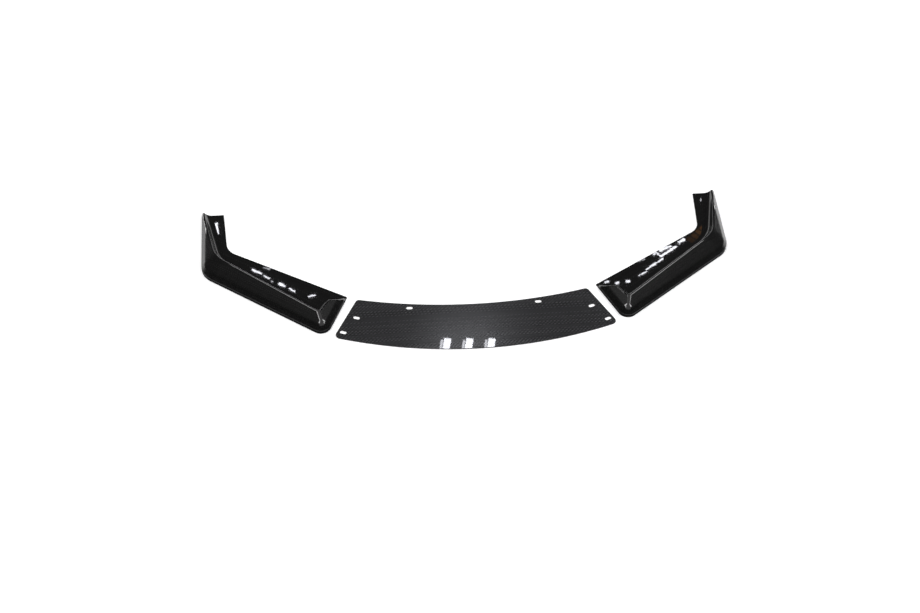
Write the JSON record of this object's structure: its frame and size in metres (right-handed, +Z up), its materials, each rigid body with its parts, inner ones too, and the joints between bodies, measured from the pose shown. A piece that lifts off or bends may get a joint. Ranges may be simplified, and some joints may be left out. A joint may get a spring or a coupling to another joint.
{
  "type": "front splitter lip",
  "caption": "Front splitter lip for a car in glossy carbon laminate: a flat slotted centre plate and a mirrored pair of corner pieces with a raised hollow rim.",
  "frame": {"origin": "on the floor under the middle of the set's box", "axes": "+X towards the car's left, +Y towards the rear of the car, +Z up from the floor"},
  "size_m": [1.78, 0.6344, 0.0521],
  "materials": {
    "carbon_plate": "twill carbon under clear gloss coat",
    "carbon_corner": "dark carbon under clear gloss coat"
  },
  "bodies": {
    "root": {"centre_plate": "carbon_plate", "left_corner": "carbon_corner", "right_corner": "carbon_corner"}
  },
  "joints": []
}
